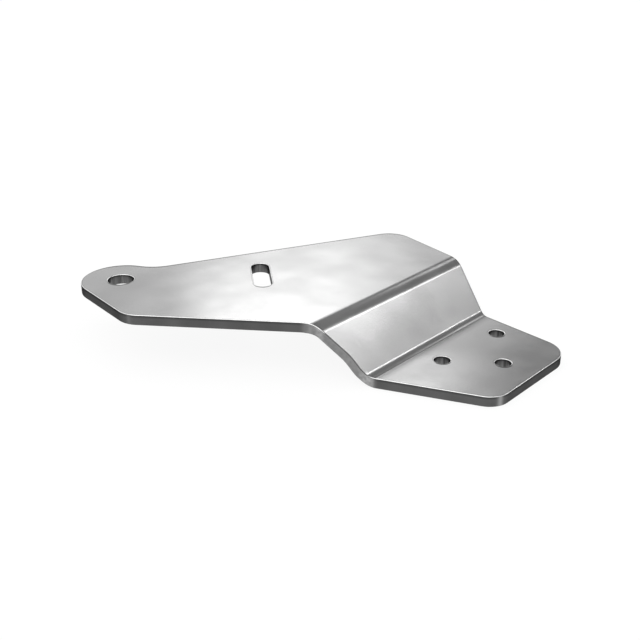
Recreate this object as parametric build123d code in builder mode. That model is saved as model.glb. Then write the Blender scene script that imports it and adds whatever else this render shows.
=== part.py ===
from build123d import *
from math import acos, cos, degrees, radians, sin, sqrt
import os

os.makedirs("parts", exist_ok=True)

# A mounting bracket, cut and folded from one piece of steel plate. A long arm with a rounded tip lies
# level, two parallel bends in opposite senses step the plate down, and a flange with three bolt holes lies
# level below. Lengths are in millimetres, angles in degrees. +Z is up, X runs across the bends from the arm
# to the flange, and Y runs along them. The origin is on the flange's underside, amid its bolt holes.

# The sheet and its folds
thickness = 6.0
bend_angle = 45.0
bend_radius = 7.5  # inside radius of both bends
drop = 26.5  # from the arm's top face down to the flange's top face
neutral = 0.44  # depth of the layer that a bend leaves as long as it was, as a share of the thickness
edge_round = 0.3  # radius that deburring leaves on the edges of the outline and of the holes

# The flange, in the bracket's own X and Y
flange_start = -23.3  # where the lower bend ends
flange_end = 36.7  # the straight end edge
end_front_y = -39.5
end_front_round = 12.8
end_back_y = 34.0
end_back_round = 17.0
bolt_hole = 9.0
bolt_points = ((-10.2, -22.5), (16.5, -3.5), (-6.3, 26.0))

# The web between the bends, with X measured down its slope
waist = (17.2, -68.5)  # the front edge turns back a little here, this far below the upper bend
waist_round = 24.0
toe = (2.2, -67.4)  # and turns out again here, this far above the lower bend
toe_round = 15.0

# The arm, with X measured back from the upper bend
neck = (2.3, -79.5)  # last corner of the front edge before the bend
neck_round = 15.0
heel = (80.2, -134.9)  # front corner, where the arm starts to narrow
heel_round = 15.0
tip = (121.0, -104.9)  # centre of the round tip and of its hole
tip_radius = 22.6
tip_hole = 15.0
shoulder = (51.7, 66.1)  # back corner
shoulder_round = 15.0
back_edge_angle = 64.6  # of the long back edge, from X
tip_hollow = 23.8  # hollow curve that leads from the back edge into the tip
slot_centre = (65.2, -45.8)
slot_length = 36.0
slot_width = 10.5
slot_angle = -41.4

# The last corner of the back edge, on the flange just past the lower bend
back_corner = (1.25, 41.8)
back_corner_round = 18.0

# Where the bends start and end, along the flat blank and in the folded bracket
turn = radians(bend_angle)
neutral_radius = bend_radius + neutral * thickness
bend_stretch = turn * neutral_radius
bend_rise = (2 * bend_radius + thickness) * (1 - cos(turn))
bend_run = (2 * bend_radius + thickness) * sin(turn)
web_length = (drop - bend_rise) / sin(turn)
web_end = flange_start - bend_stretch
web_start = web_end - web_length
arm_end = web_start - bend_stretch
arm_end_x = flange_start - bend_run - web_length * cos(turn)
arm_top = thickness + drop


def on_arm(point):
    """A point of the arm in the flat blank, which has its own X from the flange's origin."""
    return (arm_end - point[0], point[1])


# Corners of the flat blank, from the heel round the front edge, the end and the back edge to the shoulder
heel_point = on_arm(heel)
neck_point = on_arm(neck)
waist_point = (web_start + waist[0], waist[1])
toe_point = (web_end - toe[0], toe[1])
end_front = (flange_end, end_front_y)
end_back = (flange_end, end_back_y)
back_point = (flange_start + back_corner[0], back_corner[1])
shoulder_point = on_arm(shoulder)
tip_point = on_arm(tip)
corner_rounds = (heel_round, neck_round, waist_round, toe_round,
                 end_front_round, end_back_round, back_corner_round, shoulder_round)

# The front edge leaves the round tip tangent to it, on its way to the heel
to_heel = Vector(heel_point) - Vector(tip_point)
slant_turn = degrees(acos(tip_radius / to_heel.length))
slant_start = Vector(tip_point) + to_heel.normalized().rotate(Axis.Z, -slant_turn) * tip_radius

# The back edge runs from the shoulder towards the tip and ends in the hollow curve, which touches both the
# edge and the round tip
back_direction = Vector(1, 0).rotate(Axis.Z, back_edge_angle)
back_outwards = Vector(1, 0).rotate(Axis.Z, back_edge_angle + 90)
to_tip = Vector(tip_point) - Vector(shoulder_point)
hollow_across = tip_hollow - to_tip.dot(back_outwards)
hollow_along = to_tip.dot(back_direction) + sqrt((tip_radius + tip_hollow) ** 2 - hollow_across**2)
hollow_start = Vector(shoulder_point) + back_direction * hollow_along
to_hollow = hollow_start + back_outwards * tip_hollow - Vector(tip_point)
hollow_end = Vector(tip_point) + to_hollow.normalized() * tip_radius

# The flat blank, from the tip round the front edge and back to the tip, with its holes
with BuildSketch() as blank:
    with BuildLine():
        outline = FilletPolyline(slant_start, heel_point, neck_point, waist_point, toe_point, end_front,
                                 end_back, back_point, shoulder_point, hollow_start, radius=corner_rounds)
        hollow = TangentArc(outline @ 1, hollow_end, tangent=outline % 1)
        TangentArc(hollow @ 1, outline @ 0, tangent=hollow % 1)
    make_face()
    with Locations(tip_point):
        Circle(tip_hole / 2, mode=Mode.SUBTRACT)
    with Locations(on_arm(slot_centre)):
        SlotOverall(slot_length, slot_width, rotation=slot_angle, mode=Mode.SUBTRACT)
    with Locations(*bolt_points):
        Circle(bolt_hole / 2, mode=Mode.SUBTRACT)

blank_size = blank.sketch.bounding_box().size
beyond = 2 * blank_size.Y  # wider than the blank to either side of the origin


def bend_plane(centre, side, angle):
    """Plane through a bend's axis at an angle from the level side: X along the axis, Y out to the sheet."""
    outwards = Vector(sin(radians(angle)), 0, cos(radians(angle))) * side
    return Plane(origin=centre, x_dir=(0, 1, 0), z_dir=Vector(0, 1, 0).cross(outwards))


def trim_y(edge, level_end, side, share, radius):
    """Y of the cut across a bend, at a share of its turn and a radius from its axis. It follows the blank's
    straight edge, square to the sheet, and leans a little at each end to leave the level edges smoothly."""
    (start_x, start_y), (end_x, end_y) = edge
    grade = (end_y - start_y) / (end_x - start_x)
    lean = share * (1 - share) * (1 - 2 * share) * (radius - neutral_radius)
    return start_y + grade * (level_end - start_x + side * turn * (neutral_radius * share + lean))


# Each bend is a sector of the sheet turned about the bend's axis, and trimmed where the blank's straight
# edges cross it. The trimming cuts run from inside the sheet's inner face to outside its outer face.
middle_radius = bend_radius + thickness / 2
trim_steps = 10
trim_inner = bend_radius - thickness / 2
trim_outer = bend_radius + 1.5 * thickness
upper_centre = Vector(arm_end_x, 0, drop - bend_radius)
lower_centre = Vector(flange_start, 0, thickness + bend_radius)
upper_edges = ((neck_point, waist_point), (shoulder_point, back_point))
lower_edges = ((toe_point, end_front), (shoulder_point, back_point))
bends = []
for centre, side, level_end, edges in ((upper_centre, 1, arm_end, upper_edges),
                                       (lower_centre, -1, flange_start, lower_edges)):
    with BuildPart() as bend:
        with BuildSketch(bend_plane(centre, side, 0)):
            with Locations((0, middle_radius)):
                Rectangle(2 * beyond, thickness)
        revolve(axis=Axis(centre, (0, 1, 0)), revolution_arc=bend_angle)
        for edge, away in zip(edges, (-1, 1)):
            for step in range(-1, trim_steps + 2):
                share = step / trim_steps
                with BuildSketch(bend_plane(centre, side, bend_angle * share)):
                    with BuildLine():
                        inner = (trim_y(edge, level_end, side, share, trim_inner), trim_inner)
                        outer = (trim_y(edge, level_end, side, share, trim_outer), trim_outer)
                        far = away * beyond
                        Polyline(inner, outer, (far, trim_outer), (far, trim_inner), close=True)
                    make_face()
            loft(mode=Mode.SUBTRACT)
    bends.append(bend.part)

# The three level or sloping stretches of the blank, each on its own plane, joined by the bends
slope = Vector(cos(turn), 0, -sin(turn))
web_foot = lower_centre + Vector(-sin(turn), 0, -cos(turn)) * bend_radius
arm_plane = Plane(origin=(arm_end_x - arm_end, 0, arm_top))
web_plane = Plane(origin=web_foot - slope * web_end, x_dir=slope, z_dir=(sin(turn), 0, cos(turn)))
flange_plane = Plane.XY.offset(thickness)
arm_start = arm_end - blank_size.X

with BuildPart() as bracket:
    for plane, start, end in ((arm_plane, arm_start, arm_end), (web_plane, web_start, web_end),
                              (flange_plane, flange_start, flange_start + blank_size.X)):
        with BuildSketch(plane):
            add(blank.sketch)
            with Locations(((start + end) / 2, 0)):
                Rectangle(end - start, 2 * beyond, mode=Mode.INTERSECT)
        extrude(amount=-thickness)
    add(bends)

    # Deburred edges: every edge but the fold lines and the short ones across the sheet
    fold_lines = bracket.edges().filter_by(Axis.Y).sort_by(Axis.X)[:-2]
    across = bracket.edges().filter_by(lambda edge: abs(edge.length - thickness) < 0.001)
    rims = bracket.edges().filter_by(lambda edge: edge not in fold_lines and edge not in across)
    fillet(rims, edge_round)

bracket.part.label = "bracket"
export_step(bracket.part, "parts/bracket.step")
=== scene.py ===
# %% [markdown]
# # A folded steel bracket, cell by cell
# The object is a mounting bracket: one piece of 6 mm steel plate, cut to an outline, drilled and
# slotted, and folded twice, so that a long arm sits one step above a flange with three bolt holes. We
# start from the solid that the CAD step made. It fixes the place and the size of everything, in metres,
# so all that we add lines up with it without any fitting.

# %% Load the solid
from math import radians

import bpy
import numpy as np
from mathutils import Matrix, Vector
from mathutils.geometry import delaunay_2d_cdt


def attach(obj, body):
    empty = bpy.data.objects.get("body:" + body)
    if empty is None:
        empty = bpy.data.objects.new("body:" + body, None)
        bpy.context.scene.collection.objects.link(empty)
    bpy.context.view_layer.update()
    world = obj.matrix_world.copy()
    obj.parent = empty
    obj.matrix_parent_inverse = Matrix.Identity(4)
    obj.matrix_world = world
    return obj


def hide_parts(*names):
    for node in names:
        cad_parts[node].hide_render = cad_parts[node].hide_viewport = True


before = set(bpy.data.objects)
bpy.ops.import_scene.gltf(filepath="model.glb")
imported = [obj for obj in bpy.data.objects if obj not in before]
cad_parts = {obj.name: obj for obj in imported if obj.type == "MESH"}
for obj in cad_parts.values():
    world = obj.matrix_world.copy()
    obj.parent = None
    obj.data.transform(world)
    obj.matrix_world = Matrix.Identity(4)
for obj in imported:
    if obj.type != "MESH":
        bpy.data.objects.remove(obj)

bpy.context.view_layer.update()

# %% [markdown]
# ## The flat blank
# A real bracket of this kind starts as a flat blank. A laser or a punch cuts the outline and the holes,
# and only then does a press brake fold it. We could model the folded plate directly, but we follow the
# same order as the workshop, because it gives the true shape at the folds: the outline is drawn flat,
# and one function folds every point of it. The sizes below are the ones of the solid, in millimetres. X
# runs across the folds and Y along them. Only the radius of the rims is larger than the solid's 0.3 mm,
# because the real rims are worn rounder.

# %% Sizes of the plate and its folds
thickness = 6.0
fold = radians(45.0)
inner_radius = 7.5
outer_radius = inner_radius + thickness
drop = 26.5
neutral_radius = inner_radius + 0.44 * thickness
edge_round = 0.5

flange_start, flange_end = -23.3, 36.7
stretch = fold * neutral_radius
rise = (inner_radius + outer_radius) * (1 - np.cos(fold))
web_length = (drop - rise) / np.sin(fold)
web_end = flange_start - stretch
web_start = web_end - web_length
arm_end = web_start - stretch
arm_end_x = flange_start - (inner_radius + outer_radius) * np.sin(fold) - web_length * np.cos(fold)
arm_top = thickness + drop
print("along the blank: arm ends at", round(arm_end, 2), "web from", round(web_start, 2), "to",
      round(web_end, 2))

# %% [markdown]
# ## Lines and arcs
# The outline is made of straight edges and arcs. A curve object could draw it, but arrays of points let
# us carry more along with each point. Each row below holds x and y, the direction that faces out of the
# metal, because the rounded edge is built along it, and how much highlight is painted on the wall there,
# for the finish.

# %% Lines and arcs as arrays
line_step = 1.6
arc_step = radians(3.0)
glint_middle, glint_reach = 0.64, 0.1


def unit(v):
    """A vector divided by its length."""
    return v / np.hypot(*v)


def line(p, q):
    """Rows of x, y, outward direction and glint on the straight edge from p to q: p + share * (q - p).
    The metal is on the left, so outward is the edge's direction turned right. A line has no painted glint."""
    count = max(1, int(np.ceil(np.hypot(*(q - p)) / line_step)))
    share = np.arange(count)[:, None] / count
    along = unit(q - p)
    return np.hstack([p + share * (q - p), np.tile([along[1], -along[0], 0.0], (count, 1))])


def arc(centre, radius, start, sweep, glint=0.0):
    """Rows on an arc: centre + radius * (cos, sin) of an angle that runs from start through sweep. Outward
    is away from the centre where the arc turns left, and towards it where it turns right. The glint, a
    highlight painted on the corner's wall, is a bell curve of the share of the arc, past its middle."""
    count = max(2, int(np.ceil(abs(sweep) / arc_step)))
    share = np.arange(count) / count
    angle = start + sweep * share
    ray = np.stack([np.cos(angle), np.sin(angle)], axis=1)
    bell = glint * np.exp(-((share - glint_middle) / glint_reach) ** 2)
    return np.hstack([centre + radius * ray, ray * np.sign(sweep), bell[:, None]])


print("points on a quarter circle:", len(arc(np.zeros(2), 10.0, 0.0, radians(90.0))))

# %% [markdown]
# ## Corners, tip and hollow curve
# The blank has eight rounded corners. Between the last and the first of them comes the tip of the arm: a
# round end, which the front edge leaves in a tangent, and which the back edge reaches through a hollow
# curve. We could find those tangent points by trial, but each has a formula. A line from an outer point
# touches a circle where it makes a right angle with the radius, so the cosine of the angle there is the
# radius over the distance. Two circles touch where the line between their centres crosses them.

# %% Corners of the blank, and where the tip joins them
tip = np.array([arm_end - 121.0, -104.9])
tip_radius, tip_hollow = 22.6, 23.8
corners = np.array([(arm_end - 80.2, -134.9), (arm_end - 2.3, -79.5), (web_start + 17.2, -68.5),
                    (web_end - 2.2, -67.4), (flange_end, -39.5), (flange_end, 34.0),
                    (flange_start + 1.25, 41.8), (arm_end - 51.7, 66.1)])
rounds = (15.0, 15.0, 24.0, 15.0, 12.8, 17.0, 18.0, 15.0)
# Painted highlight: how much lighter the wall of each corner is painted, at its glint.
corner_glints = (0.25, 0.0, 0.6, 0.0, 1.0, 0.5, 0.2, 0.2)

to_heel = corners[0] - tip
lean = np.arctan2(to_heel[1], to_heel[0]) - np.arccos(tip_radius / np.hypot(*to_heel))
slant_start = tip + tip_radius * np.array([np.cos(lean), np.sin(lean)])

back_angle = radians(64.6)
back_along = np.array([np.cos(back_angle), np.sin(back_angle)])
back_out = np.array([-back_along[1], back_along[0]])
to_tip = tip - corners[-1]
aside = tip_hollow - to_tip @ back_out
onward = to_tip @ back_along + np.sqrt((tip_radius + tip_hollow) ** 2 - aside**2)
hollow_start = corners[-1] + back_along * onward
hollow_centre = hollow_start + back_out * tip_hollow
print("corners:", len(corners), "tip centre", tip.round(2), "hollow starts", hollow_start.round(2))

# %% [markdown]
# ## Round every corner
# A bevel on a mesh could round the corners, but the arcs have to be exact, because the solid has them
# too. So each arc is worked out from the corner and its two neighbours: it starts one reach before the
# corner and ends one reach after it, and the reach is the radius times the tangent of half the turn.


# %% The outline, corner by corner
def corner(before, at, after, radius):
    """Centre, start angle, sweep and the two tangent points of an arc that rounds the corner 'at'."""
    a, b = unit(at - before), unit(after - at)
    turn = np.arctan2(a[0] * b[1] - a[1] * b[0], a @ b)
    reach = radius * np.tan(abs(turn) / 2)
    first, last = at - a * reach, at + b * reach
    centre = first + np.sign(turn) * radius * np.array([-a[1], a[0]])
    out = first - centre
    return centre, np.arctan2(out[1], out[0]), turn, first, last


outline = []
stops = [slant_start, *corners, hollow_start]
leave = slant_start
for before, at, after, radius, glint in zip(stops, stops[1:], stops[2:], rounds, corner_glints):
    centre, start, turn, first, last = corner(before, at, after, radius)
    outline += [line(leave, first), arc(centre, radius, start, turn, glint)]
    leave = last
outline.append(line(leave, hollow_start))

meet = hollow_centre - tip
meet_angle = np.arctan2(meet[1], meet[0])
hollow_from = np.arctan2(-back_out[1], -back_out[0])
hollow_sweep = -((hollow_from - (meet_angle + np.pi)) % (2 * np.pi))
outline += [arc(hollow_centre, tip_hollow, hollow_from, hollow_sweep),
            arc(tip, tip_radius, meet_angle, (lean - meet_angle) % (2 * np.pi))]
print("stretches of the outline:", len(outline), "points:", sum(len(part) for part in outline))

# %% [markdown]
# ## Holes and slot
# The flange has three bolt holes, the tip a larger one, and the arm a slanted slot with round ends. A
# boolean could cut them from a solid plate, but it leaves long thin triangles that spoil a reflection.
# Here each hole is one more closed loop, walked clockwise so that the metal stays on its left as it does
# along the outline.

# %% The holes and the slot
slot_centre = np.array([arm_end - 65.2, -45.8])
slot_half, slot_radius = 12.75, 5.25
slot_turn = radians(-41.4)
slot_along = np.array([np.cos(slot_turn), np.sin(slot_turn)])
slot_ends = slot_centre + slot_half * slot_along, slot_centre - slot_half * slot_along
slot_side = np.array([-slot_along[1], slot_along[0]]) * slot_radius
bolt_points = ((-10.2, -22.5), (16.5, -3.5), (-6.3, 26.0))
bolt_radius, tip_hole_radius = 4.5, 7.5


def hole(centre, radius):
    """A round hole, walked clockwise: centre + radius * (cos, sin) of an angle that falls by a turn."""
    return arc(np.array(centre), radius, 0.0, -2 * np.pi)


slot = np.vstack([arc(slot_ends[0], slot_radius, slot_turn + np.pi / 2, -np.pi),
                  line(slot_ends[0] - slot_side, slot_ends[1] - slot_side),
                  arc(slot_ends[1], slot_radius, slot_turn - np.pi / 2, -np.pi),
                  line(slot_ends[1] + slot_side, slot_ends[0] + slot_side)])
loops = [np.vstack(outline), hole(tip, tip_hole_radius), slot,
         *(hole(centre, bolt_radius) for centre in bolt_points)]
print("points on each cut edge:", [len(loop) for loop in loops])

# %% [markdown]
# ## The cut edge in section
# A cut edge of sheet steel isn't a sharp step. Deburring rounds its two rims, and those narrow rounds
# are what catches the light along a real plate. A Bevel modifier could round them, but a profile gives
# us the rows and their directions exactly: a few rows on the face, a quarter circle, the wall, and the
# same again below. Carrying this profile along a loop gives the edge as a grid with two parameters, how
# far along the loop and how far round the profile.

# %% The profile of the edge
face_rows = np.array([3.0, 1.8, 1.1, 0.7])
quarter = np.linspace(0, np.pi / 2, 7)
wall_rows = np.linspace(edge_round, thickness - edge_round, 8)[1:-1]
inset = np.concatenate([face_rows, edge_round * (1 - np.sin(quarter)), 0 * wall_rows,
                        edge_round * (1 - np.cos(quarter)), face_rows[::-1]])
depth = np.concatenate([0 * face_rows, edge_round * (1 - np.cos(quarter)), wall_rows,
                        thickness - edge_round * (1 - np.sin(quarter)), 0 * face_rows + thickness])
facing = np.concatenate([0 * face_rows + np.pi / 2, np.pi / 2 - quarter, 0 * wall_rows, -quarter,
                         0 * face_rows - np.pi / 2])
rows = len(inset)
first_wall, last_wall = len(face_rows) + len(quarter) - 1, rows - len(face_rows) - len(quarter)
print("rows across the edge:", rows, "of which on the wall:", last_wall - first_wall + 1)

# %% [markdown]
# ## Folding
# Folding is a function of a flat point and its depth below the upper face. The level stretches only
# move. In a bend, the share of the bend that a point has passed is its angle, and its distance from the
# bend's axis follows from its depth. The layer at 0.44 of the thickness keeps its length, and the small
# lean term lets the cut edges leave the level stretches without a kink, as they do in the solid. A
# Simple Deform modifier bends a whole object by one angle, so it would need an origin and a vertex group
# for each fold, where this is one formula.


# %% Fold every point
def fold_up(x, y, deep):
    """Places flat points in space. Arm and flange: shifted level. Web: start + slope * length less
    normal * depth. Bends: axis + (sin, cos) of the angle * radius, the angle being the share passed, less a
    small lean."""
    x, y, deep = np.broadcast_arrays(x, y, deep)

    def turned(begin, radius):
        """Angle that a point has turned by in the bend that begins at this x."""
        share = (x - begin) / stretch
        held = np.clip(share, 0, 1)
        slip = held * (1 - held) * (1 - 2 * held) * (radius - neutral_radius) / neutral_radius
        return fold * np.clip(share - slip, 0, 1)

    upper, lower = turned(arm_end, outer_radius - deep), turned(web_end, inner_radius + deep)
    top = arm_top - outer_radius
    bottom = thickness + inner_radius
    web_x = arm_end_x + outer_radius * np.sin(fold) + (x - web_start) * np.cos(fold)
    web_z = top + outer_radius * np.cos(fold) - (x - web_start) * np.sin(fold)
    px = np.select([x <= web_start, x <= web_end],
                   [np.minimum(x - arm_end, 0) + arm_end_x + (outer_radius - deep) * np.sin(upper),
                    web_x - deep * np.sin(fold)],
                   np.maximum(x, flange_start) - (inner_radius + deep) * np.sin(fold - lower))
    pz = np.select([x <= web_start, x <= web_end],
                   [top + (outer_radius - deep) * np.cos(upper), web_z - deep * np.cos(fold)],
                   bottom - (inner_radius + deep) * np.cos(fold - lower))
    return np.stack([px, y, pz], axis=-1)


print("flange end folds to", fold_up(flange_end, 0.0, 0.0).round(3), "web starts at",
      fold_up(web_start, 0.0, 0.0).round(3))

# %% [markdown]
# ## Directions fold too
# The shading of a rounded rim hangs on the direction that each point faces. Blender could guess it from
# the triangles round the point, but we know it on the flat blank, so we fold it as well. Any direction
# of the blank follows from what three small moves, along x, along y and upwards, become in the folded
# plate.


# %% Fold every direction
def fold_normal(x, y, deep, n):
    """Turns directions n of the blank into directions of the folded plate. With the three steps that small
    moves along x, y and upwards make, it is the sum of n's parts times the steps' cross products."""
    small = 1e-3
    to_x = fold_up(x + small, y, deep) - fold_up(x - small, y, deep)
    to_y = fold_up(x, y + small, deep) - fold_up(x, y - small, deep)
    to_z = fold_up(x, y, deep - small) - fold_up(x, y, deep + small)
    out = (n[..., :1] * np.cross(to_y, to_z) + n[..., 1:2] * np.cross(to_z, to_x)
           + n[..., 2:] * np.cross(to_x, to_y))
    return out / np.linalg.norm(out, axis=-1, keepdims=True)


web_middle = (web_start + web_end) / 2
print("the web faces", fold_normal(web_middle, 0.0, 0.0, np.array([0.0, 0.0, 1.0])).round(3))

# %% [markdown]
# ## Rows across the bends
# A bend needs many narrow rows, or its reflection breaks into facets. The rows run along Y, each at its
# own angle. Where a row meets the cut edge, both need the same point, or the skin would have a gap
# there. So we add to each loop the points where it crosses the rows.

# %% Rows of the bends, and the points where they meet the edges
bend_rows = 28
bend_x = np.concatenate([np.linspace(arm_end, web_start, bend_rows + 1),
                         np.linspace(web_end, flange_start, bend_rows + 1)])


def with_rows(loop):
    """Adds to a loop the points where its innermost row crosses x = constant: both ends of each edge have
    their signed distance from the row, and the crossing divides the edge in that ratio."""
    inner = loop[:, 0] - face_rows[0] * loop[:, 2]
    ahead = np.roll(inner, -1)
    edge, row = np.nonzero((inner[:, None] - bend_x) * (ahead[:, None] - bend_x) < 0)
    share = ((bend_x[row] - inner[edge]) / (ahead[edge] - inner[edge]))[:, None]
    new = loop[edge] + share * (np.roll(loop, -1, axis=0)[edge] - loop[edge])
    order = np.argsort(np.concatenate([np.arange(len(loop)), edge + share[:, 0]]), kind="stable")
    return np.vstack([loop, new])[order]


loops = [with_rows(loop) for loop in loops]
print("points on each cut edge now:", [len(loop) for loop in loops])

# %% [markdown]
# ## An edge as a grid
# Now the profile is carried along a loop. Every point of the grid is the loop's point, moved inwards by
# the profile's inset and down by its depth, so whole arrays do it at once. The quads between the rows
# close round the loop, and each gets its finish from its row: the wall, the rounded rims, or the strip
# of the face beside them.


# %% The grid of one cut edge
def edge_grid(loop):
    """Flat x, y, depth and direction of every grid point: the loop's point less inset * outward, and a
    direction of outward * cos(facing) + up * sin(facing)."""
    x = loop[:, 0] - inset[:, None] * loop[:, 2]
    y = loop[:, 1] - inset[:, None] * loop[:, 3]
    deep = np.broadcast_to(depth[:, None], x.shape)
    level = np.cos(facing)[:, None, None] * loop[:, 2:4]
    upwards = np.broadcast_to(np.sin(facing)[:, None, None], level[..., :1].shape)
    return x, y, deep, np.concatenate([level, upwards], axis=-1)


def edge_finish(row, is_hole):
    """Number of each quad's finish by its row: 2 on a cut wall or 3 on a drilled one, 1 on the rims, and 0
    on the face. The wall's dark finish reaches two rows into the rounds, and paints a dark reflection on
    their lower part."""
    wall = (row >= first_wall - 2) & (row < last_wall + 2)
    rim = ~wall & (row >= len(face_rows)) & (row < rows - 1 - len(face_rows))
    return np.where(wall, 3 if is_hole else 2, np.where(rim, 1, 0))


print("finishes across the edge:", edge_finish(np.arange(rows - 1), False))

# %% [markdown]
# ## A flat map of the sheet
# Grain and marks were rolled or cut into the steel while it was flat, so their patterns need flat
# coordinates, which bend with the plate. Blender could unwrap the mesh, but we already have the map: on
# the faces it is the blank's own x and y, and on the walls it is the way along the loop and down the
# profile.

# %% The map of one cut edge
walk = np.concatenate([[0], np.cumsum(np.hypot(*np.diff(np.stack([inset, depth]), axis=1)))])
quad_corners = ((0, 0), (1, 0), (1, 1), (0, 1))


def edge_map(loop, x, y, row, at, on_face):
    """Map points of each quad's four corners. A corner lies a row or none down and a point or none on."""
    steps = np.hypot(*(np.roll(loop, -1, axis=0) - loop)[:, :2].T)
    along = np.concatenate([[0], np.cumsum(steps)])
    strip_x = np.stack([along[at + on] for down, on in quad_corners], axis=-1)
    strip_y = np.stack([walk[row + down] for down, on in quad_corners], axis=-1)
    flat_x = np.stack([x[row + down, (at + on) % len(loop)] for down, on in quad_corners], axis=-1)
    flat_y = np.stack([y[row + down, (at + on) % len(loop)] for down, on in quad_corners], axis=-1)
    strip, blank = np.stack([strip_x, strip_y], axis=-1), np.stack([flat_x, flat_y], axis=-1)
    return np.where(on_face[..., None, None], blank, strip).reshape(-1, 2)


print("way down the profile:", walk[-1].round(2), "mm")

# %% [markdown]
# ## All six edges
# The six loops go through the same steps. The finishes will ask how far a point lies from the rim, how
# much highlight is painted on its corner's wall, and how far its rim is still as the cut left it, so we
# keep all three. In the photo the rims that face the back left stay dark, as if the brush that took the
# burr off had missed them. How squarely a rim faces that way is the product of its outward direction and
# the one below, and from one half on it counts, up to one.

# %% Carry the profile along every loop
unbrushed = np.array([-0.66, 0.75])
points, normals, uvs, quads, kinds, distance, painted_glint, left_as_cut, rings = ([] for _ in range(9))
counted = 0
for loop in loops:
    count = len(loop)
    x, y, deep, direction = edge_grid(loop)
    points.append(fold_up(x, y, deep).reshape(-1, 3))
    normals.append(fold_normal(x, y, deep, direction).reshape(-1, 3))
    distance.append(np.repeat(inset, count))
    painted_glint.append(np.tile(loop[:, 4], rows))
    left_as_cut.append(np.tile(np.clip(2 * loop[:, 2:4] @ unbrushed - 1, 0, 1), rows))

    row, at = np.meshgrid(np.arange(rows - 1), np.arange(count), indexing="ij")
    quad = np.stack([(row + down) * count + (at + on) % count for down, on in quad_corners], axis=-1)
    finish = edge_finish(row, is_hole=counted > 0)
    quads.append(counted + quad.reshape(-1, 4))
    kinds.append(finish.ravel())
    uvs.append(edge_map(loop, x, y, row, at, finish == 0))
    rings.append((counted, np.stack([x[0], y[0]], axis=1)))
    counted += rows * count
print("points on the cut edges:", counted, "quads:", sum(len(q) for q in quads))

# %% [markdown]
# ## The two faces
# Between the loops the faces are flat or bent one way only, so they need no fine grid, but their
# triangles must meet the edges point for point. A constrained Delaunay triangulation does that: it takes
# the innermost rows of all loops and the rows of the bends as lines that it has to keep, plus a loose
# grid of points in between. First we need to know which points of such a grid lie in the metal.


# %% Which points lie in the metal
def inside(p, ring):
    """Whether points lie inside a closed ring: a ray along +X crosses an odd number of its edges."""
    a, b = ring, np.roll(ring, -1, axis=0)
    spans = (a[:, 1] > p[:, None, 1]) != (b[:, 1] > p[:, None, 1])
    level = np.where(b[:, 1] == a[:, 1], 1.0, b[:, 1] - a[:, 1])
    cross = a[:, 0] + (p[:, None, 1] - a[:, 1]) * (b[:, 0] - a[:, 0]) / level
    return (spans & (p[:, None, 0] < cross)).sum(axis=1) % 2 == 1


def in_metal(p):
    """Whether points lie inside the outline and outside every hole."""
    keep = inside(p, rings[0][1])
    for _, ring in rings[1:]:
        keep &= ~inside(p, ring)
    return keep


grid_step, clear = 5.0, 1.2
ring_points = np.vstack([ring for _, ring in rings])
low, high = ring_points.min(axis=0), ring_points.max(axis=0)
gx, gy = np.meshgrid(np.arange(low[0], high[0], grid_step), np.arange(low[1], high[1], grid_step))
grid = np.stack([gx.ravel(), gy.ravel()], axis=1)
grid = grid[in_metal(grid)]
grid = grid[np.abs(grid[:, :1] - bend_x).min(axis=1) > clear]
for a, b in ((arm_end, web_start), (web_end, flange_start)):
    grid = grid[(grid[:, 0] < a) | (grid[:, 0] > b)]
grid = grid[np.hypot(*(grid[:, None] - ring_points).transpose(2, 0, 1)).min(axis=1) > clear]
print("grid points in the metal:", len(grid))

# %% [markdown]
# ## Lines that the triangles keep
# The rings and the rows of the bends are lists of point pairs. Each row starts and ends on a ring point
# that we made for it, and gets its own points in between, close enough that no triangle spans a whole
# bend.

# %% Points and lines for the triangles
row_step = 3.0
flat, lines = [ring_points, grid], []
start = 0
for _, ring in rings:
    at = np.arange(len(ring))
    lines.append(start + np.stack([at, (at + 1) % len(ring)], axis=1))
    start += len(ring)
start += len(grid)
for row_x in bend_x:
    ends = np.nonzero(np.abs(ring_points[:, 0] - row_x) < 1e-6)[0]
    ends = ends[np.argsort(ring_points[ends, 1])]
    y0, y1 = ring_points[ends, 1]
    between_ends = np.linspace(y0, y1, int((y1 - y0) / row_step) + 1)[1:-1]
    flat.append(np.stack([np.full(len(between_ends), row_x), between_ends], axis=1))
    chain = np.concatenate([[ends[0]], start + np.arange(len(between_ends)), [ends[1]]])
    lines.append(np.stack([chain[:-1], chain[1:]], axis=1))
    start += len(between_ends)
flat = np.vstack(flat)

made = delaunay_2d_cdt([Vector(p) for p in flat], np.vstack(lines).tolist(), [], 0, 1e-6)
same = np.array([origin[0] if origin else -1 for origin in made[3]])
triangles = same[np.array(made[2])]
triangles = triangles[in_metal(flat[triangles].mean(axis=1))]
print("triangles on each face:", len(triangles), "new points made:", int((same < 0).sum()))

# %% [markdown]
# ## One closed skin
# The cut edges and the two faces share their innermost rows, so putting all the arrays together gives
# one closed skin. The lower face is the upper one again, a thickness deeper, with its triangles turned
# over so that they face outwards.

# %% Put the upper and the lower face between the edges
rest = flat[len(ring_points):]
up = np.broadcast_to([0.0, 0.0, 1.0], (len(rest), 3))
faces = []
for deep, row, order in ((0.0, 0, 1), (thickness, rows - 1, -1)):
    inner = np.concatenate([first + row * len(ring) + np.arange(len(ring)) for first, ring in rings])
    ids = np.concatenate([inner, counted + np.arange(len(rest))])
    faces.append(ids[triangles][:, ::order])
    points.append(fold_up(rest[:, 0], rest[:, 1], deep))
    normals.append(fold_normal(rest[:, 0], rest[:, 1], deep, order * up))
    distance.append(np.full(len(rest), 2 * face_rows[0]))
    painted_glint.append(np.zeros(len(rest)))
    left_as_cut.append(np.zeros(len(rest)))
    uvs.append(flat[triangles][:, ::order].reshape(-1, 2))
    counted += len(rest)
points, normals, distance = np.vstack(points) / 1000, np.vstack(normals), np.concatenate(distance) / 1000
quads, faces = np.vstack(quads), np.vstack(faces)
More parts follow.
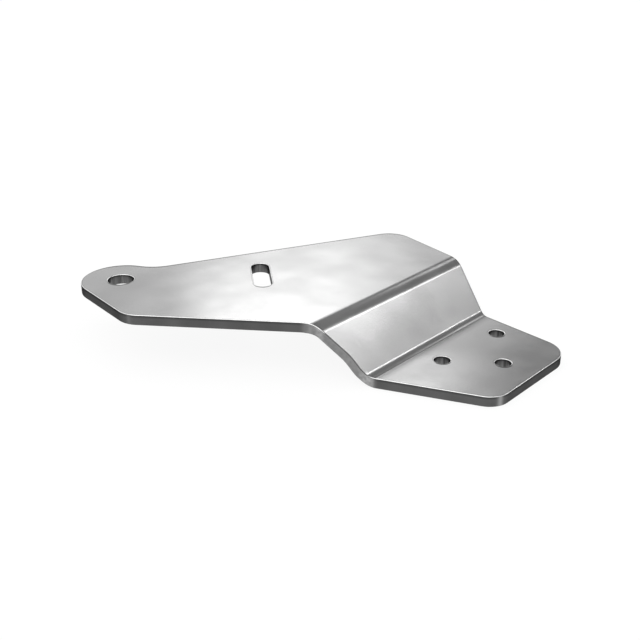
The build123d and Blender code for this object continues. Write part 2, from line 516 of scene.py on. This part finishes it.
print("plate:", len(points), "points,", 2 * len(quads) + len(faces), "triangles, from",
      (1000 * points.min(axis=0)).round(2), "to", (1000 * points.max(axis=0)).round(2))

# %% [markdown]
# ## The plate as a Blender mesh
# Smooth shading would average the directions where a flat face meets its rounded rim, and dim the face
# beside it. Our folding function knows the true direction of every point, so we hand those to the mesh.
# The distance from the rim, the painted glint and the rims left as cut become attributes, which a
# material can read by name. The new piece stands for the solid, rides on the part's only body, and stays
# at the origin with its place in its mesh.

# %% Make the mesh and hand it to the frame
mesh = bpy.data.meshes.new("folded_plate")
mesh.from_pydata(points.tolist(), [], quads.tolist() + faces.tolist())
mesh.polygons.foreach_set("material_index", np.concatenate([*kinds, np.zeros(len(faces), int)]))
mesh.polygons.foreach_set("use_smooth", np.ones(len(mesh.polygons), bool))
mesh.uv_layers.new(name="sheet").data.foreach_set("uv", np.vstack(uvs).ravel() / 1000)
for name, values in (("rim_distance", distance), ("painted_glint", np.concatenate(painted_glint)),
                     ("as_cut", np.concatenate(left_as_cut))):
    mesh.attributes.new(name, "FLOAT", "POINT").data.foreach_set("value", values)
mesh.normals_split_custom_set_from_vertices(normals.tolist())
mesh.update()
folded_plate = bpy.data.objects.new("folded_plate", mesh)
bpy.context.scene.collection.objects.link(folded_plate)
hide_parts("bracket")
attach(folded_plate, "root")
print("mesh:", len(mesh.vertices), "points,", len(mesh.polygons), "faces, map", mesh.uv_layers[0].name)

# %% [markdown]
# ## Building node trees in code
# A finish is a tree of nodes. Adding each node, setting it and linking it takes a line apiece, so we
# write one helper that does all three. It finds a socket by the name that the editor shows, or by its
# number, because the inputs of some nodes share a name.


# %% Place a node
def node(tree, kind, inputs=None, **settings):
    """Adds a node, sets its properties, and fills its inputs with values or links them to other sockets. A
    mix node has sockets of one name for each kind of data, of which only the enabled ones count."""
    made = tree.nodes.new("ShaderNode" + kind)
    for name, value in settings.items():
        setattr(made, name, value)
    for key, value in (inputs or {}).items():
        socket = made.inputs[key] if isinstance(key, int) else next(
            s for s in made.inputs if s.name == key and s.enabled)
        if isinstance(value, bpy.types.NodeSocket):
            tree.links.new(value, socket)
        else:
            socket.default_value = value
    return made


print("written:", node.__name__)

# %% [markdown]
# ## Small steps with nodes
# Five steps come up again and again: calculating with values, mapping a value from one range to another,
# writing a shade of grey as a colour, mixing two colours by a factor, and reading what the mesh holds
# for each point. Each gets a short name, so that a finish can be read from top to bottom.


# %% Helpers for the small steps
def combine(tree, operation, *values):
    """The result of a calculation with two or three values, each a number or another node's socket."""
    return node(tree, "Math", dict(enumerate(values)), operation=operation).outputs[0]


def spread(tree, value, low, high, start=0.0, end=1.0):
    """Maps a value from low..high to start..end and holds it there."""
    return node(tree, "MapRange", {"Value": value, "From Min": low, "From Max": high, "To Min": start,
                                   "To Max": end}).outputs["Result"]


def grey(shade):
    """A neutral colour."""
    return (shade, shade, shade, 1.0)


def blend(tree, factor, a, b):
    """A colour between a and b, by a factor. Each is a shade of grey or another node's colour."""
    a, b = (c if isinstance(c, bpy.types.NodeSocket) else grey(c) for c in (a, b))
    mix = node(tree, "Mix", {"Factor": factor, "A": a, "B": b}, data_type="RGBA")
    return next(s for s in mix.outputs if s.enabled)


def stored(tree, name):
    """A value that the mesh holds for each point, by its name."""
    return node(tree, "Attribute", attribute_name=name).outputs["Fac"]


print("a shade of 0.4 as a colour:", grey(0.4))

# %% [markdown]
# ## Effects as node groups
# The finishes of the plate share a few effects: slow clouds, fine grain, wear along the rims. Each
# becomes a node group with named sockets, made once and placed in every material that needs it, with
# values of its own. A group gives values only, and every material decides what to do with them.


# %% Make a group, and place one
def group(name, inputs, outputs):
    """A new shader group with float outputs. Its inputs are given as name: default, and one without a
    default is a vector. Returns the tree, the values put in and the sockets to put out."""
    tree = bpy.data.node_groups.new(name, "ShaderNodeTree")
    for label, value in inputs.items():
        kind = "NodeSocketVector" if value is None else "NodeSocketFloat"
        socket = tree.interface.new_socket(label, in_out="INPUT", socket_type=kind)
        if value is not None:
            socket.default_value = value
    for label in outputs:
        tree.interface.new_socket(label, in_out="OUTPUT", socket_type="NodeSocketFloat")
    return tree, tree.nodes.new("NodeGroupInput").outputs, tree.nodes.new("NodeGroupOutput").inputs


def use(tree, effect, inputs):
    """Places a group in a material and returns its outputs."""
    made = tree.nodes.new("ShaderNodeGroup")
    made.node_tree = effect
    for key, value in inputs.items():
        if isinstance(value, bpy.types.NodeSocket):
            tree.links.new(value, made.inputs[key])
        else:
            made.inputs[key].default_value = value
    return made.outputs


print("groups so far:", len(bpy.data.node_groups))

# %% [markdown]
# ## Clouds
# The skin of rolled steel has soft patches, a few centimetres across, where it is a little lighter,
# darker or smoother, with quicker specks inside them. Photographs of steel could be painted on, but two
# noises do it at any scale: a slow one for the patches, and one 5.3 times finer for the specks.

# %% The group for clouds and specks
mill_clouds, put_in, put_out = group("mill_clouds", {"Vector": None, "Size": 0.03}, ["Cloud", "Speck"])
rate = combine(mill_clouds, "DIVIDE", 1.0, put_in["Size"])
finer = combine(mill_clouds, "MULTIPLY", rate, 5.3)
slow = node(mill_clouds, "TexNoise", {"Vector": put_in["Vector"], "Scale": rate, "Detail": 1.0,
                                      "Roughness": 0.4}).outputs["Fac"]
quick = node(mill_clouds, "TexNoise", {"Vector": put_in["Vector"], "Scale": finer, "Detail": 1.5,
                                       "Roughness": 0.5}).outputs["Fac"]
mill_clouds.links.new(spread(mill_clouds, slow, 0.3, 0.7), put_out["Cloud"])
mill_clouds.links.new(spread(mill_clouds, quick, 0.3, 0.7), put_out["Speck"])
print("made", mill_clouds.name)

# %% [markdown]
# ## Grain and scratches
# Rolling draws the steel out in one direction, so its grain is a noise that is stretched along the
# sheet. A few faint scratches lie along it: a second noise, stretched about half as much, of which only
# the highest peaks show. The Mapping node that stretches it turns it as well, but after the scaling, so
# the turn doesn't slant the scratches and only takes them from another part of the noise. Both read the
# flat map, so they bend with the plate.

# %% The group for grain and scratches
grain_pull, scratch_pull = (0.02, 1.0, 0.02), (60.0, 1600.0, 60.0)
pattern_turn = (0.0, 0.0, radians(24.0))
rolled_grain, put_in, put_out = group("rolled_grain", {"Vector": None, "Fineness": 2500.0},
                                      ["Grain", "Scratch"])
pulled = node(rolled_grain, "VectorMath", {0: put_in["Vector"], 1: grain_pull},
              operation="MULTIPLY").outputs[0]
streaks = node(rolled_grain, "TexNoise", {"Vector": pulled, "Scale": put_in["Fineness"], "Detail": 3.0,
                                          "Roughness": 0.7}).outputs["Fac"]
drawn_out = node(rolled_grain, "Mapping", {"Vector": put_in["Vector"], "Rotation": pattern_turn,
                                           "Scale": scratch_pull}).outputs[0]
peaks = node(rolled_grain, "TexNoise", {"Vector": drawn_out, "Scale": 1.0, "Detail": 1.0}).outputs["Fac"]
rolled_grain.links.new(spread(rolled_grain, streaks, 0.25, 0.75), put_out["Grain"])
rolled_grain.links.new(spread(rolled_grain, peaks, 0.74, 0.82, 0.0, 0.5), put_out["Scratch"])
print("made", rolled_grain.name)

# %% [markdown]
# ## Wear and scorch beside the rims
# Beside a rim the face is a little brighter where hands and tools have touched it, with a ragged border,
# and right at the rim the heat of the cut has left a thin dark line, full up to 0.6 mm from the wall and
# gone at 1 mm. Where the rim is left as cut, the line is up to 0.9 mm wider, and darker, so the group
# gives its shade as well. A pointiness or bevel node would find the rims only in Cycles, so we read the
# distance that we stored on the mesh.

# %% The group for the rims
line_full, line_gone, left_wider = 0.0006, 0.001, 0.0009
line_shade, left_shade = 0.13, 0.06
rim_wear, put_in, put_out = group("rim_wear", {"Vector": None, "Reach": 0.0012}, ["Wear", "Burn", "Tint"])
near, as_cut = stored(rim_wear, "rim_distance"), stored(rim_wear, "as_cut")
ragged = node(rim_wear, "TexNoise", {"Vector": put_in["Vector"], "Scale": 260.0,
                                     "Detail": 3.0}).outputs["Fac"]
reach = combine(rim_wear, "MULTIPLY", ragged, put_in["Reach"])
share_of_reach = combine(rim_wear, "DIVIDE", near, reach)
rim_wear.links.new(spread(rim_wear, share_of_reach, 0.2, 2.2, 1.0, 0.0), put_out["Wear"])
shifted = combine(rim_wear, "MULTIPLY_ADD", as_cut, -left_wider, near)
rim_wear.links.new(spread(rim_wear, shifted, line_full, line_gone, 1.0, 0.0), put_out["Burn"])
rim_wear.links.new(spread(rim_wear, as_cut, 0.0, 1.0, line_shade, left_shade), put_out["Tint"])
print("made", rim_wear.name)

# %% [markdown]
# ## A stretch of the plate
# The web and its edges get a finish that differs from the arm's and the flange's: its walls are painted
# lighter, as painted light, and its rims are darker. A mask by position says where: it rises over a soft
# length after its start and falls again before its end. The helper beside it places the group, with the
# lengths in millimetres like the sizes of the plate.

# %% The group for a stretch along X
between, put_in, put_out = group("between", {"Vector": None, "Start": 0.0, "End": 0.01, "Soft": 0.002},
                                 ["Mask"])
x = node(between, "SeparateXYZ", {0: put_in["Vector"]}).outputs["X"]
begun = combine(between, "ADD", put_in["Start"], put_in["Soft"])
ending = combine(between, "SUBTRACT", put_in["End"], put_in["Soft"])
rising = spread(between, x, put_in["Start"], begun)
falling = spread(between, x, ending, put_in["End"], 1.0, 0.0)
between.links.new(combine(between, "MULTIPLY", rising, falling), put_out["Mask"])


def mask_along(tree, at, start, end, soft):
    """The mask of the stretch from start to end along the part's X, in millimetres."""
    return use(tree, between, {"Vector": at["Object"], "Start": start / 1000, "End": end / 1000,
                               "Soft": soft / 1000})["Mask"]


print("made", between.name)

# %% [markdown]
# ## Bare metal
# Bare steel has no colour under its surface, only a grey tint on what it mirrors. A glossy coat over a
# grey paint could look like it from one side, but a metal answers every lamp as steel does, so each
# finish of the plate is a metallic shader with a tint and a roughness. The helper also hands back the
# tree, the shader and the coordinates, because the nodes of each finish are joined to them.


# %% A metallic shader
def metal(name, shade, roughness):
    """A metallic shader. Returns the material, its tree, its shader and the outputs of its coordinates."""
    material = bpy.data.materials.new(name)
    material.use_nodes = True
    tree = material.node_tree
    shader = tree.nodes["Principled BSDF"]
    shader.inputs["Base Color"].default_value = grey(shade)
    shader.inputs["Metallic"].default_value = 1.0
    shader.inputs["Roughness"].default_value = roughness
    return material, tree, shader, node(tree, "TexCoord").outputs


print("finishes so far:", len(mesh.materials))

# %% [markdown]
# ## The faces: tint
# The faces keep the satin skin of the mill, a mid grey that follows the clouds. Scratches and the strip
# beside the rims are lighter, and the scorched line is darker. Beside the lower bend the flange gets a
# painted shadow of the fold: a soft dark edge on its upper side only. It starts one millimetre before the
# end of the bend and fades over nearly six after it, fast at first, so its mask is squared.

# %% The tint of the faces
bend_foot, shade_onset, shade_fade = flange_start / 1000, 0.001, 0.0058
sheet_middle, side_change = thickness / 2000, 0.001
mill_steel, tree, shader, at = metal("mill_steel", 0.4, 0.3)
clouds = use(tree, mill_clouds, {"Vector": at["Object"], "Size": 0.03})
grain = use(tree, rolled_grain, {"Vector": at["UV"], "Fineness": 2500.0})
rim = use(tree, rim_wear, {"Vector": at["Object"], "Reach": 0.0012})
tint = blend(tree, clouds["Cloud"], 0.333, 0.405)
marked = blend(tree, grain["Scratch"], tint, 0.6)

spot = node(tree, "SeparateXYZ", {0: at["Object"]}).outputs
# Painted shadow of the lower bend on the flange's upper face.
upper_side = spread(tree, spot["Z"], sheet_middle - side_change, sheet_middle + side_change)
past_bend = spread(tree, spot["X"], bend_foot - shade_onset, bend_foot)
fading = spread(tree, spot["X"], bend_foot, bend_foot + shade_fade, 1.0, 0.0)
on_flange = combine(tree, "MULTIPLY", upper_side, past_bend)
painted_bend_shadow = combine(tree, "MULTIPLY", on_flange, combine(tree, "POWER", fading, 2.0))
bend_shadowed = blend(tree, painted_bend_shadow, marked, 0.23)
worn = blend(tree, rim["Wear"], bend_shadowed, 0.43)
tree.links.new(blend(tree, rim["Burn"], worn, rim["Tint"]), shader.inputs["Base Color"])
print("stain on the flange from", round(bend_foot - shade_onset, 4), "to", round(bend_foot + shade_fade, 4))

# %% [markdown]
# ## The faces: gloss and relief
# The roughness follows the specks, so that what the steel mirrors grows sharper and softer from place to
# place. The relief has two parts: a slow wave that bends the reflections a little, as no rolled sheet is
# quite flat, and the fine grain. A band of light painted on the steel would stay where it is, and this
# moves with the lamps.

# %% The gloss and relief of the faces
rough = spread(tree, clouds["Speck"], 0.0, 1.0, 0.17, 0.195)
rougher = combine(tree, "MULTIPLY_ADD", grain["Grain"], 0.02, rough)
tree.links.new(rougher, shader.inputs["Roughness"])
slow_relief = node(tree, "Bump", {"Strength": 1.0, "Distance": 0.00011,
                                  "Height": clouds["Cloud"]}).outputs[0]
fine_relief = node(tree, "Bump", {"Strength": 0.1, "Distance": 0.000002, "Height": grain["Grain"],
                                  "Normal": slow_relief}).outputs[0]
tree.links.new(fine_relief, shader.inputs["Normal"])
mesh.materials.append(mill_steel)
print(mill_steel.name, "has", len(tree.nodes), "nodes")

# %% [markdown]
# ## The rims: deburred
# A belt or a brush takes the burr off after cutting and leaves the rims bright and rather smooth, with
# small flats and specks. On the web they are darker, and at the back they are left as cut, so the larger
# of the two masks turns them dark.

# %% The finish of the rims
deburred_steel, tree, shader, at = metal("deburred_steel", 0.73, 0.19)
clouds = use(tree, mill_clouds, {"Vector": at["Object"], "Size": 0.004})
bright = blend(tree, clouds["Cloud"], 0.66, 0.8)
on_web = mask_along(tree, at, -50.5, -26.0, 2.0)
darker_rims = combine(tree, "MAXIMUM", on_web, stored(tree, "as_cut"))
tree.links.new(blend(tree, darker_rims, bright, 0.12), shader.inputs["Base Color"])
tree.links.new(spread(tree, clouds["Speck"], 0.0, 1.0, 0.14, 0.24), shader.inputs["Roughness"])
mesh.materials.append(deburred_steel)
print(deburred_steel.name, "has", len(tree.nodes), "nodes")

# %% [markdown]
# ## The cut walls: oxide, painted shade and painted light
# The heat of the cut leaves a dark oxide on the walls, and their tint is darker still as painted shade,
# for the dark surroundings that the walls mirror. A band along the top is painted darker, a painted dark
# reflection under the rim's highlight, and fine marks run across the sheet. The walls of the web are
# painted lighter, most of all at its head and its foot, and so are those of the corners, as painted
# light and painted highlights. Each is one more blend over the oxide, led by a mask. The marks are the
# rolled grain again, on a turned map.

# %% The finish of the cut walls
across_sheet = (0.0, 0.0, radians(90.0))
edge_gloss = grey(0.25)


def marks_across(tree, at, fineness):
    """The group for grain on a turned map, so that its streaks run across the sheet."""
    turned_map = node(tree, "Mapping", {"Vector": at["UV"], "Rotation": across_sheet}).outputs[0]
    return use(tree, rolled_grain, {"Vector": turned_map, "Fineness": fineness})


cut_steel, tree, shader, at = metal("cut_steel", 0.1, 0.42)
shader.inputs["Specular Tint"].default_value = edge_gloss
clouds = use(tree, mill_clouds, {"Vector": at["Object"], "Size": 0.012})
down_wall = node(tree, "SeparateXYZ", {0: at["UV"]}).outputs["Y"]
# Oxide, with its tint darkened further as painted shade for the dark surroundings that the walls mirror.
oxide_and_painted_shade = blend(tree, clouds["Cloud"], 0.105, 0.13)
# Painted dark reflection: the wall is darker along its top, under the rim's highlight.
painted_dark_top = blend(tree, spread(tree, down_wall, 0.0036, 0.0046, 0.55, 0.0), oxide_and_painted_shade, 0.03)

# Painted light: the walls of the web are lighter, most of all at its head and its foot.
on_web = mask_along(tree, at, -62.0, -22.5, 5.0)
at_head, at_foot = mask_along(tree, at, -54.5, -49.5, 2.0), mask_along(tree, at, -32.5, -24.0, 2.5)
painted_light_web = blend(tree, on_web, painted_dark_top, blend(tree, clouds["Speck"], 0.24, 0.3))
painted_light_bends = blend(tree, combine(tree, "MAXIMUM", at_foot, at_head), painted_light_web,
                blend(tree, clouds["Speck"], 0.28, 0.46))
# Painted highlight: the walls of the corners are lighter by their glint.
tree.links.new(blend(tree, stored(tree, "painted_glint"), painted_light_bends, 0.33), shader.inputs["Base Color"])

marks = marks_across(tree, at, 1400.0)
relief = node(tree, "Bump", {"Strength": 0.4, "Distance": 0.00003, "Height": marks["Grain"]}).outputs[0]
tree.links.new(spread(tree, marks["Grain"], 0.0, 1.0, 0.34, 0.5), shader.inputs["Roughness"])
tree.links.new(relief, shader.inputs["Normal"])
mesh.materials.append(cut_steel)
print(cut_steel.name, "has", len(tree.nodes), "nodes")

# %% [markdown]
# ## The walls of the holes
# Inside the holes and the slot the cut shows as streaks from face to face, light and dark beside each
# other, on a dark tint that is partly painted shade for the dim inside of the hole. The same turned grain
# makes them, over three times coarser, and here it leads the tint as well. The painted dark band along
# the top, a painted dark reflection under the rim, is thinner than outside, and darker.

# %% The finish of the hole walls
drilled_steel, tree, shader, at = metal("drilled_steel", 0.14, 0.35)
shader.inputs["Specular Tint"].default_value = edge_gloss
marks = marks_across(tree, at, 420.0)
relief = node(tree, "Bump", {"Strength": 0.5, "Distance": 0.00005, "Height": marks["Grain"]}).outputs[0]
down_wall = node(tree, "SeparateXYZ", {0: at["UV"]}).outputs["Y"]
# Streaks on a dark tint, which is partly painted shade inside the hole.
streaks_and_painted_shade = blend(tree, marks["Grain"], 0.04, 0.24)
# Painted dark reflection: the wall is darker along its top.
painted_dark_top = blend(tree, spread(tree, down_wall, 0.0034, 0.0042, 0.8, 0.0), streaks_and_painted_shade, 0.02)
tree.links.new(painted_dark_top, shader.inputs["Base Color"])
tree.links.new(spread(tree, marks["Grain"], 0.0, 1.0, 0.42, 0.28), shader.inputs["Roughness"])
tree.links.new(relief, shader.inputs["Normal"])
mesh.materials.append(drilled_steel)
print("finishes:", [finish.name for finish in mesh.materials])

# %% [markdown]
# ## The camera
# The view is the photograph's: a little above the plate, from its front right. A camera could be moved
# until the picture looks alike, but its place and lens here were worked out from the plate's corners in
# the picture, taken to be 640 by 640, until each corner fell within a quarter of a pixel.

# %% Camera
camera_turn, camera_height = radians(41.416), radians(24.717)
camera_out = Vector((np.sin(camera_turn), -np.cos(camera_turn), 0.0))
camera_back = camera_out * np.cos(camera_height) + Vector((0.0, 0.0, np.sin(camera_height)))
camera_right = Vector((np.cos(camera_turn), np.sin(camera_turn), 0.0))
camera_up = camera_back.cross(camera_right)
camera = bpy.data.objects.new("camera", bpy.data.cameras.new("camera"))
bpy.context.scene.collection.objects.link(camera)
camera.matrix_world = Matrix((camera_right, camera_up, camera_back)).transposed().to_4x4()
camera.location = (0.25935, -0.42834, 0.25192)
camera.data.sensor_width, camera.data.lens = 36.0, 56.02
camera.data.clip_start, camera.data.clip_end = 0.01, 50.0
bpy.context.scene.camera = camera
print("camera at", [round(c, 4) for c in camera.location])

# %% [markdown]
# ## Panels without gloss
# The floor under the bracket and a card among the lamps are flat rectangles, and neither may shine. Four
# corners give such a mesh at once, where an added plane would still have to be scaled and applied. A
# shader that is fully rough and has no specular part shows its colour alone.


# %% A panel, and a dull material
def panel(name, half_wide, half_high):
    """A rectangle in its own XY plane, centred on its origin."""
    made = bpy.data.meshes.new(name)
    corners_of_it = [(x * half_wide, y * half_high, 0.0) for x, y in ((-1, -1), (1, -1), (1, 1), (-1, 1))]
    made.from_pydata(corners_of_it, [], [(0, 1, 2, 3)])
    return made


def dull(name, shade):
    """A material with no gloss. Returns it with its tree and shader."""
    material = bpy.data.materials.new(name)
    material.use_nodes = True
    shader = material.node_tree.nodes["Principled BSDF"]
    shader.inputs["Base Color"].default_value = grey(shade)
    shader.inputs["Roughness"].default_value = 1.0
    shader.inputs["Specular IOR Level"].default_value = 0.0
    return material, material.node_tree, shader


print("materials so far:", [material.name for material in bpy.data.materials])

# %% [markdown]
# ## The floor
# The bracket lies on white paper that runs out of sight, and only a faint shadow shows. More light would
# also burn out the metal, so the paper is lifted instead: for rays from the camera and from mirrors,
# most of its colour comes from a glow of strength 1, which is white, and the rest from the light that
# falls on it, which keeps the shadow. Seen from below it is clear, so that the underside can be looked
# at.

# %% Floor and its paper
scene = bpy.context.scene
scene.view_settings.view_transform = "Standard"
half_floor, floor_gap, paper_white, lift_share = 6.0, 0.0002, 0.97, 0.9

floor_paper, tree, shader = dull("floor_paper", paper_white)
ray = node(tree, "LightPath").outputs
seen = ray["Is Camera Ray"]
for kind in ("Is Glossy Ray", "Is Transmission Ray"):
    seen = combine(tree, "MAXIMUM", seen, ray[kind])
lift = combine(tree, "MULTIPLY", seen, lift_share)
glow = node(tree, "Emission", {"Color": grey(1.0), "Strength": 1.0}).outputs[0]
lifted = node(tree, "MixShader", {0: lift, 1: shader.outputs[0], 2: glow}).outputs[0]
below = node(tree, "NewGeometry").outputs["Backfacing"]
from_below = combine(tree, "MULTIPLY", below, ray["Is Camera Ray"])
clear_paper = node(tree, "BsdfTransparent").outputs[0]
surface = node(tree, "MixShader", {0: from_below, 1: lifted, 2: clear_paper}).outputs[0]
tree.links.new(surface, tree.nodes["Material Output"].inputs["Surface"])

floor = bpy.data.objects.new("floor", panel("floor", half_floor, half_floor))
floor.data.materials.append(floor_paper)
floor.location.z = -floor_gap
scene.collection.objects.link(floor)
print("floor:", 2 * half_floor, "m square")

# %% [markdown]
# ## The room
# The room is plain white, at a strength of 1. A picture of a real studio could light the plate, but a
# white world is simple, and every tint in the materials then renders about as it is written.

# %% World
world = bpy.data.worlds.new("white_room")
world.use_nodes = True
world.node_tree.nodes["Background"].inputs["Color"].default_value = grey(1.0)
world.node_tree.nodes["Background"].inputs["Strength"].default_value = 1.0
scene.world = world
print("world:", world.name)

# %% [markdown]
# ## Soft boxes and a card
# Bare metal shows what it mirrors, so its light is mostly a matter of what stands round it. Lamps could
# be put down by eye, but we place each by the direction in which the plate mirrors it: a heading, a
# height above the horizon, and the angles that it fills. Where two lamps overlap, one stands a little
# nearer, because a mirror ray counts lamps at one and the same distance only once.

# %% Panels placed by direction
middle = Vector((-0.07, -0.03, 0.02))
far_off = 5.0


def place(made, turn, height, roll, nearer=0.0):
    """Puts a panel far off, at a heading from +Y towards +X and a height above the horizon, facing the
    plate and rolled about its own middle. It shows in the metal but not to the camera."""
    turn, height = radians(turn), radians(height)
    out = Vector((np.sin(turn) * np.cos(height), np.cos(turn) * np.cos(height), np.sin(height)))
    side = Vector((np.cos(turn), -np.sin(turn), 0.0))
    turned = Matrix.Rotation(radians(roll), 3, out) @ Matrix((side, out.cross(side), out)).transposed()
    made.matrix_world = Matrix.Translation(middle + (far_off - nearer) * out) @ turned.to_4x4()
    made.visible_camera = False
    scene.collection.objects.link(made)


def across(angle):
    """Length that fills an angle, in degrees, from far off: 2 * distance * tangent of half the angle."""
    return 2 * far_off * np.tan(radians(angle / 2))


def soft_box(name, turn, height, wide, high, level, roll=0.0, nearer=0.0):
    """A rectangular lamp. Its power is level * pi * area, which makes its face as bright as the level."""
    lamp = bpy.data.lights.new(name, "AREA")
    lamp.shape, lamp.size, lamp.size_y = "RECTANGLE", across(wide), across(high)
    lamp.energy = level * np.pi * lamp.size * lamp.size_y
    place(bpy.data.objects.new(name, lamp), turn, height, roll, nearer)


def dark_card(name, turn, height, wide, high, shade, roll=0.0):
    """A flat card that gives the metal something dark to mirror."""
    card = bpy.data.objects.new(name, panel(name, across(wide) / 2, across(high) / 2))
    card.data.materials.append(dull(name, shade)[0])
    place(card, turn, height, roll)


print("a box of 12 degrees is", round(across(12.0), 2), "m wide")

# %% [markdown]
# ## The light
# Behind the arm stands a wide box with a brighter core, which gives the arm its glow, and a small one
# beside it serves the flange. A box and a narrow strip brighten the upper part of the web, and one more
# the crest of each bend. The card above the bends gives them their dark bands, as the gap between two
# boxes does in a studio. The large boxes overhead and above the camera are dim: they only keep the rims
# and the view from the top bright.

# %% Lamps and card
soft_box("wide_box_behind_arm", -41.7, 25.5, 12.5, 15.0, 0.72, roll=26.0)
soft_box("core_box_behind_arm", -44.7, 30.0, 9.5, 12.0, 1.7, roll=8.0, nearer=0.2)
soft_box("box_for_flange", -35.7, 30.5, 7.0, 4.5, 1.0, roll=20.0, nearer=0.3)
soft_box("wide_box_beside_web", 31.5, 40.2, 12.0, 12.0, 1.2, roll=-15.0)
soft_box("strip_beside_web", 25.0, 35.2, 13.0, 2.2, 6.0, roll=-51.0, nearer=0.2)
soft_box("box_for_crests", -16.0, 35.3, 8.0, 5.0, 1.6, nearer=0.4)
soft_box("box_overhead", -41.0, 76.0, 50.0, 26.0, 0.8)
soft_box("box_above_camera", 170.0, 58.0, 60.0, 34.0, 0.9)
dark_card("card_over_bends", -4.5, 43.5, 44.5, 38.0, 0.32)

# %% [markdown]
# ## Finish
# The view layer is brought up to date once more.

# %% Update the view layer
bpy.context.view_layer.update()
